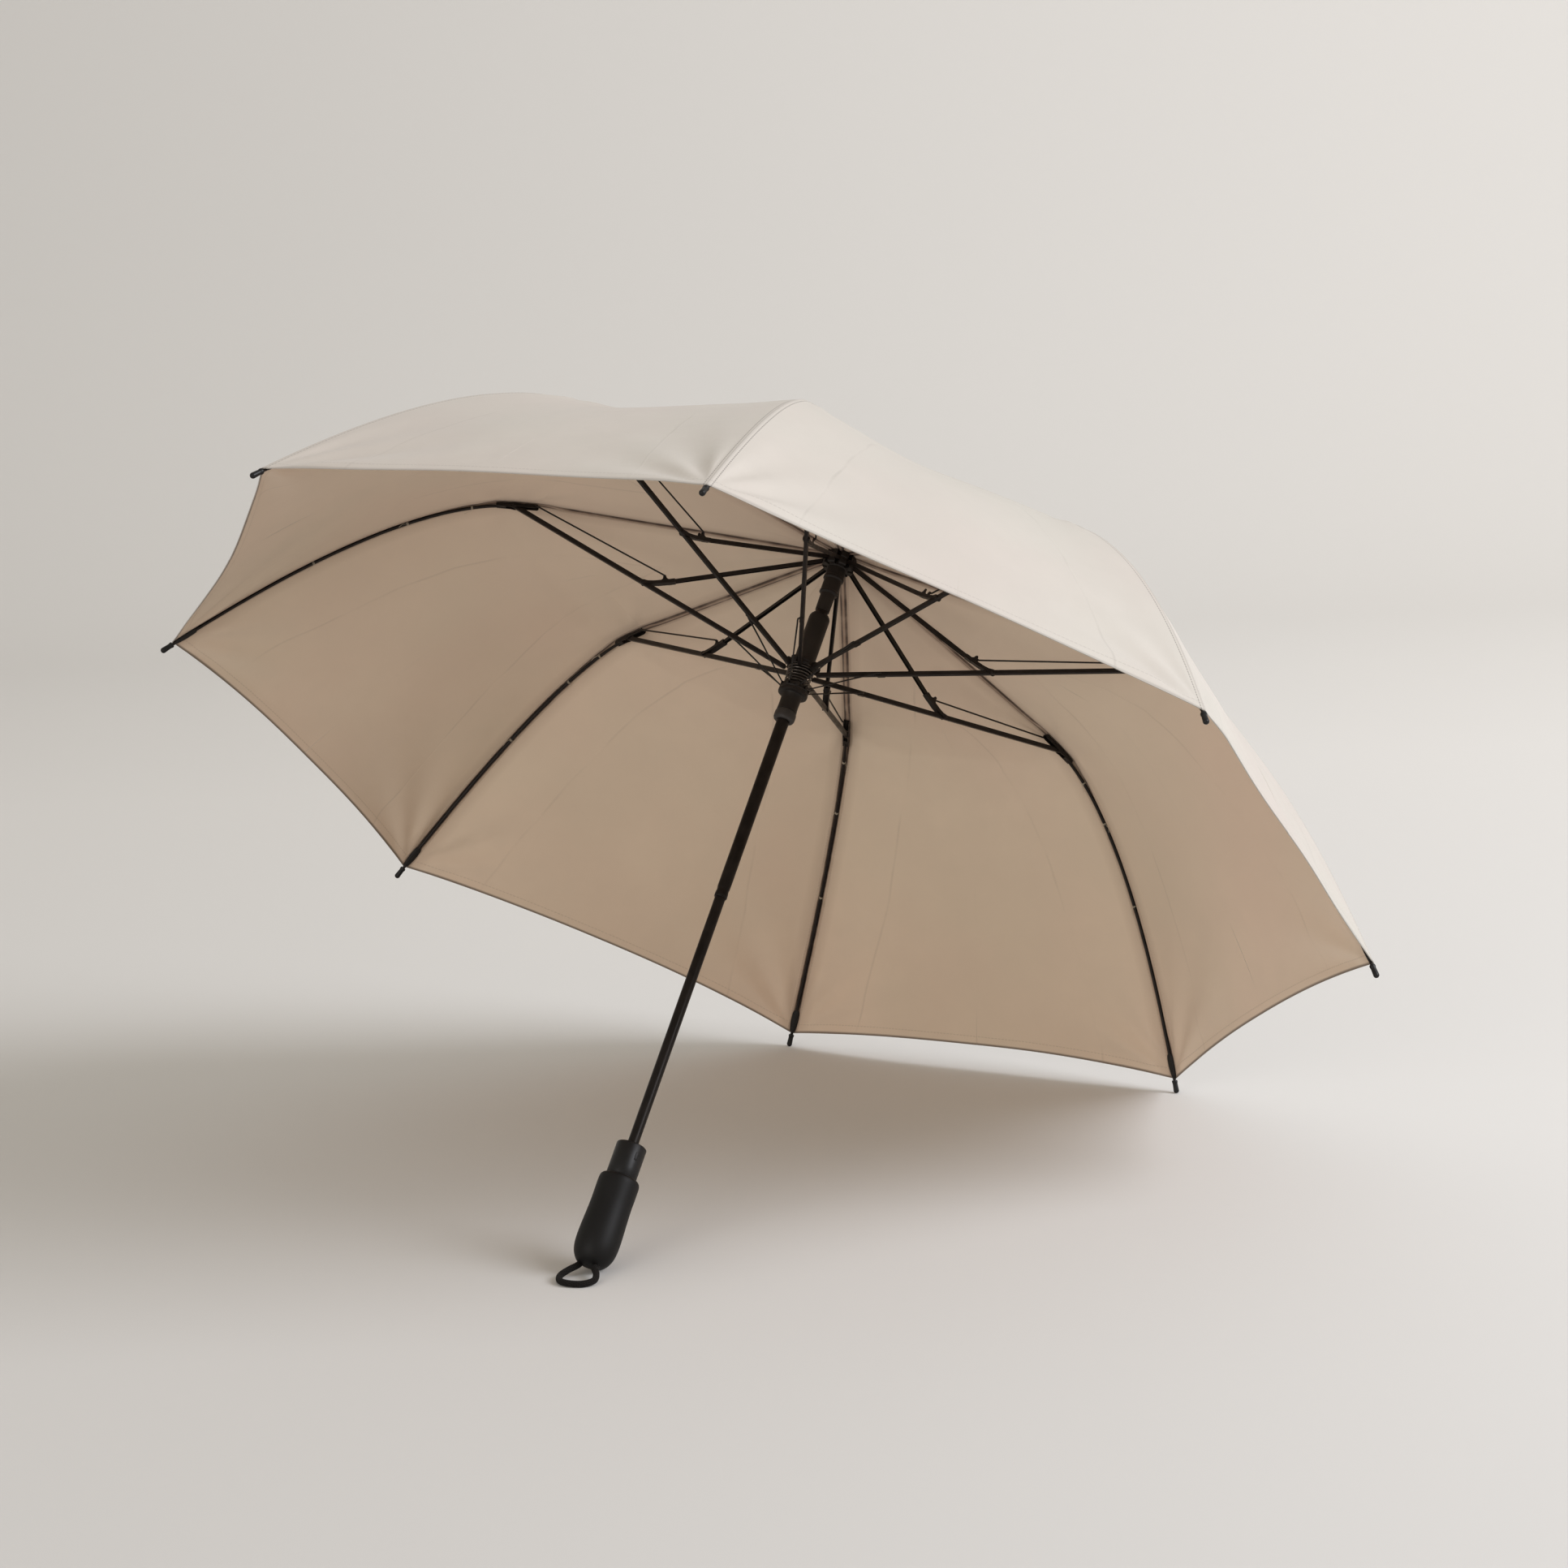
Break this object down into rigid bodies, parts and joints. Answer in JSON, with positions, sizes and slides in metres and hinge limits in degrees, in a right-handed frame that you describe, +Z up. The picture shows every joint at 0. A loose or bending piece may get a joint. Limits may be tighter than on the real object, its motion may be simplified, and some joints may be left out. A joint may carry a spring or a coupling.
{
  "type": "folding umbrella",
  "caption": "Folding umbrella, open: cloth canopy on hinged ribs, sliding runner with coil spring, two-part tube, soft grip with release button and wrist loop.",
  "frame": {"origin": "middle of the bounding box's underside: the floor, under the umbrella", "axes": "+Z up from the floor; +X along the canopy's width; +Y from the grip towards the two rib tips that stand on the floor"},
  "size_m": [0.9258, 0.7114, 0.6397],
  "materials": {
    "frame": "satin black-brown paint",
    "wire": "dark plated steel wire",
    "tube": "satin black tube",
    "plastic": "matte black moulding",
    "collar": "gloss black",
    "grip": "soft-touch matte black",
    "cord": "round black braided cord",
    "cloth": "plain-woven pongee, warm grey outside and taupe inside"
  },
  "bodies": {
    "handle": {"inner_tube": "tube", "grip": "grip", "grip_collar": "collar", "wrist_loop": "cord"},
    "release_button": {"release_button": "plastic"},
    "upper_shaft": {"outer_tube": "tube", "crown_hub": "plastic", "crown_cap": "plastic", "canopy": "cloth"},
    "runner": {"runner": "plastic", "runner_spring": "wire"},
    "lower_slider": {"lower_slider": "plastic"},
    "top_rib_1": {"top_rib_1": "frame"},
    "stretcher_1": {"stretcher_1": "frame"},
    "outer_rib_1": {"outer_rib_1": "frame", "rib_tip_1": "plastic"},
    "control_wire_1": {"control_wire_1": "wire"},
    "spring_link_1": {"spring_link_1": "wire"},
    "top_rib_2": {"top_rib_2": "frame"},
    "stretcher_2": {"stretcher_2": "frame"},
    "outer_rib_2": {"outer_rib_2": "frame", "rib_tip_2": "plastic"},
    "control_wire_2": {"control_wire_2": "wire"},
    "spring_link_2": {"spring_link_2": "wire"},
    "top_rib_3": {"top_rib_3": "frame"},
    "stretcher_3": {"stretcher_3": "frame"},
    "outer_rib_3": {"outer_rib_3": "frame", "rib_tip_3": "plastic"},
    "control_wire_3": {"control_wire_3": "wire"},
    "spring_link_3": {"spring_link_3": "wire"},
    "top_rib_4": {"top_rib_4": "frame"},
    "stretcher_4": {"stretcher_4": "frame"},
    "outer_rib_4": {"outer_rib_4": "frame", "rib_tip_4": "plastic"},
    "control_wire_4": {"control_wire_4": "wire"},
    "spring_link_4": {"spring_link_4": "wire"},
    "top_rib_5": {"top_rib_5": "frame"},
    "stretcher_5": {"stretcher_5": "frame"},
    "outer_rib_5": {"outer_rib_5": "frame", "rib_tip_5": "plastic"},
    "control_wire_5": {"control_wire_5": "wire"},
    "spring_link_5": {"spring_link_5": "wire"},
    "top_rib_6": {"top_rib_6": "frame"},
    "stretcher_6": {"stretcher_6": "frame"},
    "outer_rib_6": {"outer_rib_6": "frame", "rib_tip_6": "plastic"},
    "control_wire_6": {"control_wire_6": "wire"},
    "spring_link_6": {"spring_link_6": "wire"},
    "top_rib_7": {"top_rib_7": "frame"},
    "stretcher_7": {"stretcher_7": "frame"},
    "outer_rib_7": {"outer_rib_7": "frame", "rib_tip_7": "plastic"},
    "control_wire_7": {"control_wire_7": "wire"},
    "spring_link_7": {"spring_link_7": "wire"},
    "top_rib_8": {"top_rib_8": "frame"},
    "stretcher_8": {"stretcher_8": "frame"},
    "outer_rib_8": {"outer_rib_8": "frame", "rib_tip_8": "plastic"},
    "control_wire_8": {"control_wire_8": "wire"},
    "spring_link_8": {"spring_link_8": "wire"}
  },
  "joints": [
    {"name": "telescope", "type": "slide", "parent": "handle", "child": "upper_shaft", "axis": [0, 0.6525, 0.7578], "range_m": [-0.188, 0]},
    {"name": "runner_slide", "type": "slide", "parent": "upper_shaft", "child": "runner", "axis": [0, 0.6525, 0.7578], "range_m": [-0.1856, 0], "deforming": ["canopy"]},
    {"name": "slider_slide", "type": "slide", "parent": "runner", "child": "lower_slider", "axis": [0, 0.6525, 0.7578], "range_m": [0, 0.006], "deforming": ["runner_spring"]},
    {"name": "button_press", "type": "slide", "parent": "handle", "child": "release_button", "axis": [-0.9063, 0.3202, -0.2758], "range_m": [0, 0.0015], "stiffness_N_per_m": 500, "springref_m": -0.002},
    {"name": "hub_hinge_1", "type": "hinge", "parent": "upper_shaft", "child": "top_rib_1", "pos_m": [-0.00402, 0.13559, 0.48022], "axis": [0.9239, -0.29, 0.2497], "range_deg": [0, 62.61]},
    {"name": "elbow_hinge_1", "type": "hinge", "parent": "top_rib_1", "child": "stretcher_1", "pos_m": [-0.05604, 0.0011, 0.51653], "axis": [0.9239, -0.29, 0.2497], "range_deg": [-133.46, 0]},
    {"name": "knee_hinge_1", "type": "hinge", "parent": "stretcher_1", "child": "outer_rib_1", "pos_m": [-0.10321, -0.06052, 0.61945], "axis": [0.9239, -0.29, 0.2497], "range_deg": [0, 120.66]},
    {"name": "wire_hinge_1", "type": "hinge", "parent": "top_rib_1", "child": "control_wire_1", "pos_m": [-0.05006, 0.01801, 0.514], "axis": [0.9239, -0.29, 0.2497], "range_deg": [-139.89, 0]},
    {"name": "link_hinge_1", "type": "hinge", "parent": "stretcher_1", "child": "spring_link_1", "pos_m": [-0.02384, 0.04317, 0.44625], "axis": [0.9239, -0.29, 0.2497], "range_deg": [0, 16.61]},
    {"name": "hub_hinge_2", "type": "hinge", "parent": "upper_shaft", "child": "top_rib_2", "pos_m": [-0.0097, 0.13989, 0.47651], "axis": [0.3827, -0.7001, 0.6029], "range_deg": [0, 62.61]},
    {"name": "elbow_hinge_2", "type": "hinge", "parent": "top_rib_2", "child": "stretcher_2", "pos_m": [-0.1353, 0.06116, 0.46481], "axis": [0.3827, -0.7001, 0.6029], "range_deg": [-133.46, 0]},
    {"name": "knee_hinge_2", "type": "hinge", "parent": "stretcher_2", "child": "outer_rib_2", "pos_m": [-0.24916, 0.05008, 0.52421], "axis": [0.3827, -0.7001, 0.6029], "range_deg": [0, 120.66]},
    {"name": "wire_hinge_2", "type": "hinge", "parent": "top_rib_2", "child": "control_wire_2", "pos_m": [-0.12085, 0.07165, 0.46781], "axis": [0.3827, -0.7001, 0.6029], "range_deg": [-139.89, 0]},
    {"name": "link_hinge_2", "type": "hinge", "parent": "stretcher_2", "child": "spring_link_2", "pos_m": [-0.05756, 0.06872, 0.42424], "axis": [0.3827, -0.7001, 0.6029], "range_deg": [0, 16.61]},
    {"name": "hub_hinge_3", "type": "hinge", "parent": "upper_shaft", "child": "top_rib_3", "pos_m": [-0.0097, 0.14598, 0.47126], "axis": [-0.3827, -0.7001, 0.6029], "range_deg": [0, 62.61]},
    {"name": "elbow_hinge_3", "type": "hinge", "parent": "top_rib_3", "child": "stretcher_3", "pos_m": [-0.1353, 0.14609, 0.39166], "axis": [-0.3827, -0.7001, 0.6029], "range_deg": [-133.46, 0]},
    {"name": "knee_hinge_3", "type": "hinge", "parent": "stretcher_3", "child": "outer_rib_3", "pos_m": [-0.24916, 0.20649, 0.38952], "axis": [-0.3827, -0.7001, 0.6029], "range_deg": [0, 120.66]},
    {"name": "wire_hinge_3", "type": "hinge", "parent": "top_rib_3", "child": "control_wire_3", "pos_m": [-0.12085, 0.14751, 0.40248], "axis": [-0.3827, -0.7001, 0.6029], "range_deg": [-139.89, 0]},
    {"name": "link_hinge_3", "type": "hinge", "parent": "stretcher_3", "child": "spring_link_3", "pos_m": [-0.05756, 0.10486, 0.39313], "axis": [-0.3827, -0.7001, 0.6029], "range_deg": [0, 16.61]},
    {"name": "hub_hinge_4", "type": "hinge", "parent": "upper_shaft", "child": "top_rib_4", "pos_m": [-0.00402, 0.15029, 0.46756], "axis": [-0.9239, -0.29, 0.2497], "range_deg": [0, 62.61]},
    {"name": "elbow_hinge_4", "type": "hinge", "parent": "top_rib_4", "child": "stretcher_4", "pos_m": [-0.05604, 0.20615, 0.33995], "axis": [-0.9239, -0.29, 0.2497], "range_deg": [-133.46, 0]},
    {"name": "knee_hinge_4", "type": "hinge", "parent": "stretcher_4", "child": "outer_rib_4", "pos_m": [-0.10321, 0.31708, 0.29428], "axis": [-0.9239, -0.29, 0.2497], "range_deg": [0, 120.66]},
    {"name": "wire_hinge_4", "type": "hinge", "parent": "top_rib_4", "child": "control_wire_4", "pos_m": [-0.05006, 0.20115, 0.35629], "axis": [-0.9239, -0.29, 0.2497], "range_deg": [-139.89, 0]},
    {"name": "link_hinge_4", "type": "hinge", "parent": "stretcher_4", "child": "spring_link_4", "pos_m": [-0.02384, 0.13041, 0.37112], "axis": [-0.9239, -0.29, 0.2497], "range_deg": [0, 16.61]},
    {"name": "hub_hinge_5", "type": "hinge", "parent": "upper_shaft", "child": "top_rib_5", "pos_m": [0.00402, 0.15029, 0.46756], "axis": [-0.9239, 0.29, -0.2497], "range_deg": [0, 62.61]},
    {"name": "elbow_hinge_5", "type": "hinge", "parent": "top_rib_5", "child": "stretcher_5", "pos_m": [0.05604, 0.20615, 0.33995], "axis": [-0.9239, 0.29, -0.2497], "range_deg": [-133.46, 0]},
    {"name": "knee_hinge_5", "type": "hinge", "parent": "stretcher_5", "child": "outer_rib_5", "pos_m": [0.10321, 0.31708, 0.29428], "axis": [-0.9239, 0.29, -0.2497], "range_deg": [0, 120.66]},
    {"name": "wire_hinge_5", "type": "hinge", "parent": "top_rib_5", "child": "control_wire_5", "pos_m": [0.05006, 0.20115, 0.35629], "axis": [-0.9239, 0.29, -0.2497], "range_deg": [-139.89, 0]},
    {"name": "link_hinge_5", "type": "hinge", "parent": "stretcher_5", "child": "spring_link_5", "pos_m": [0.02384, 0.13041, 0.37112], "axis": [-0.9239, 0.29, -0.2497], "range_deg": [0, 16.61]},
    {"name": "hub_hinge_6", "type": "hinge", "parent": "upper_shaft", "child": "top_rib_6", "pos_m": [0.0097, 0.14598, 0.47126], "axis": [-0.3827, 0.7001, -0.6029], "range_deg": [0, 62.61]},
    {"name": "elbow_hinge_6", "type": "hinge", "parent": "top_rib_6", "child": "stretcher_6", "pos_m": [0.1353, 0.14609, 0.39166], "axis": [-0.3827, 0.7001, -0.6029], "range_deg": [-133.46, 0]},
    {"name": "knee_hinge_6", "type": "hinge", "parent": "stretcher_6", "child": "outer_rib_6", "pos_m": [0.24916, 0.20649, 0.38952], "axis": [-0.3827, 0.7001, -0.6029], "range_deg": [0, 120.66]},
    {"name": "wire_hinge_6", "type": "hinge", "parent": "top_rib_6", "child": "control_wire_6", "pos_m": [0.12085, 0.14751, 0.40248], "axis": [-0.3827, 0.7001, -0.6029], "range_deg": [-139.89, 0]},
    {"name": "link_hinge_6", "type": "hinge", "parent": "stretcher_6", "child": "spring_link_6", "pos_m": [0.05756, 0.10486, 0.39313], "axis": [-0.3827, 0.7001, -0.6029], "range_deg": [0, 16.61]},
    {"name": "hub_hinge_7", "type": "hinge", "parent": "upper_shaft", "child": "top_rib_7", "pos_m": [0.0097, 0.13989, 0.47651], "axis": [0.3827, 0.7001, -0.6029], "range_deg": [0, 62.61]},
    {"name": "elbow_hinge_7", "type": "hinge", "parent": "top_rib_7", "child": "stretcher_7", "pos_m": [0.1353, 0.06116, 0.46481], "axis": [0.3827, 0.7001, -0.6029], "range_deg": [-133.46, 0]},
    {"name": "knee_hinge_7", "type": "hinge", "parent": "stretcher_7", "child": "outer_rib_7", "pos_m": [0.24916, 0.05008, 0.52421], "axis": [0.3827, 0.7001, -0.6029], "range_deg": [0, 120.66]},
    {"name": "wire_hinge_7", "type": "hinge", "parent": "top_rib_7", "child": "control_wire_7", "pos_m": [0.12085, 0.07165, 0.46781], "axis": [0.3827, 0.7001, -0.6029], "range_deg": [-139.89, 0]},
    {"name": "link_hinge_7", "type": "hinge", "parent": "stretcher_7", "child": "spring_link_7", "pos_m": [0.05756, 0.06872, 0.42424], "axis": [0.3827, 0.7001, -0.6029], "range_deg": [0, 16.61]},
    {"name": "hub_hinge_8", "type": "hinge", "parent": "upper_shaft", "child": "top_rib_8", "pos_m": [0.00402, 0.13559, 0.48022], "axis": [0.9239, 0.29, -0.2497], "range_deg": [0, 62.61]},
    {"name": "elbow_hinge_8", "type": "hinge", "parent": "top_rib_8", "child": "stretcher_8", "pos_m": [0.05604, 0.0011, 0.51653], "axis": [0.9239, 0.29, -0.2497], "range_deg": [-133.46, 0]},
    {"name": "knee_hinge_8", "type": "hinge", "parent": "stretcher_8", "child": "outer_rib_8", "pos_m": [0.10321, -0.06052, 0.61945], "axis": [0.9239, 0.29, -0.2497], "range_deg": [0, 120.66]},
    {"name": "wire_hinge_8", "type": "hinge", "parent": "top_rib_8", "child": "control_wire_8", "pos_m": [0.05006, 0.01801, 0.514], "axis": [0.9239, 0.29, -0.2497], "range_deg": [-139.89, 0]},
    {"name": "link_hinge_8", "type": "hinge", "parent": "stretcher_8", "child": "spring_link_8", "pos_m": [0.02384, 0.04317, 0.44625], "axis": [0.9239, 0.29, -0.2497], "range_deg": [0, 16.61]}
  ],
  "couplings": [
    {"joint": "slider_slide", "follows": "runner_slide", "ratio": -0.032328},
    {"joint": "hub_hinge_1", "follows": "runner_slide", "rad_per_m": -5.8867},
    {"joint": "elbow_hinge_1", "follows": "runner_slide", "rad_per_m": 12.549},
    {"joint": "knee_hinge_1", "follows": "runner_slide", "rad_per_m": -11.345},
    {"joint": "wire_hinge_1", "follows": "runner_slide", "rad_per_m": 13.154},
    {"joint": "link_hinge_1", "follows": "runner_slide", "rad_per_m": -1.5607},
    {"joint": "hub_hinge_2", "follows": "runner_slide", "rad_per_m": -5.8867},
    {"joint": "elbow_hinge_2", "follows": "runner_slide", "rad_per_m": 12.549},
    {"joint": "knee_hinge_2", "follows": "runner_slide", "rad_per_m": -11.345},
    {"joint": "wire_hinge_2", "follows": "runner_slide", "rad_per_m": 13.154},
    {"joint": "link_hinge_2", "follows": "runner_slide", "rad_per_m": -1.5607},
    {"joint": "hub_hinge_3", "follows": "runner_slide", "rad_per_m": -5.8867},
    {"joint": "elbow_hinge_3", "follows": "runner_slide", "rad_per_m": 12.549},
    {"joint": "knee_hinge_3", "follows": "runner_slide", "rad_per_m": -11.345},
    {"joint": "wire_hinge_3", "follows": "runner_slide", "rad_per_m": 13.154},
    {"joint": "link_hinge_3", "follows": "runner_slide", "rad_per_m": -1.5607},
    {"joint": "hub_hinge_4", "follows": "runner_slide", "rad_per_m": -5.8867},
    {"joint": "elbow_hinge_4", "follows": "runner_slide", "rad_per_m": 12.549},
    {"joint": "knee_hinge_4", "follows": "runner_slide", "rad_per_m": -11.345},
    {"joint": "wire_hinge_4", "follows": "runner_slide", "rad_per_m": 13.154},
    {"joint": "link_hinge_4", "follows": "runner_slide", "rad_per_m": -1.5607},
    {"joint": "hub_hinge_5", "follows": "runner_slide", "rad_per_m": -5.8867},
    {"joint": "elbow_hinge_5", "follows": "runner_slide", "rad_per_m": 12.549},
    {"joint": "knee_hinge_5", "follows": "runner_slide", "rad_per_m": -11.345},
    {"joint": "wire_hinge_5", "follows": "runner_slide", "rad_per_m": 13.154},
    {"joint": "link_hinge_5", "follows": "runner_slide", "rad_per_m": -1.5607},
    {"joint": "hub_hinge_6", "follows": "runner_slide", "rad_per_m": -5.8867},
    {"joint": "elbow_hinge_6", "follows": "runner_slide", "rad_per_m": 12.549},
    {"joint": "knee_hinge_6", "follows": "runner_slide", "rad_per_m": -11.345},
    {"joint": "wire_hinge_6", "follows": "runner_slide", "rad_per_m": 13.154},
    {"joint": "link_hinge_6", "follows": "runner_slide", "rad_per_m": -1.5607},
    {"joint": "hub_hinge_7", "follows": "runner_slide", "rad_per_m": -5.8867},
    {"joint": "elbow_hinge_7", "follows": "runner_slide", "rad_per_m": 12.549},
    {"joint": "knee_hinge_7", "follows": "runner_slide", "rad_per_m": -11.345},
    {"joint": "wire_hinge_7", "follows": "runner_slide", "rad_per_m": 13.154},
    {"joint": "link_hinge_7", "follows": "runner_slide", "rad_per_m": -1.5607},
    {"joint": "hub_hinge_8", "follows": "runner_slide", "rad_per_m": -5.8867},
    {"joint": "elbow_hinge_8", "follows": "runner_slide", "rad_per_m": 12.549},
    {"joint": "knee_hinge_8", "follows": "runner_slide", "rad_per_m": -11.345},
    {"joint": "wire_hinge_8", "follows": "runner_slide", "rad_per_m": 13.154},
    {"joint": "link_hinge_8", "follows": "runner_slide", "rad_per_m": -1.5607}
  ]
}
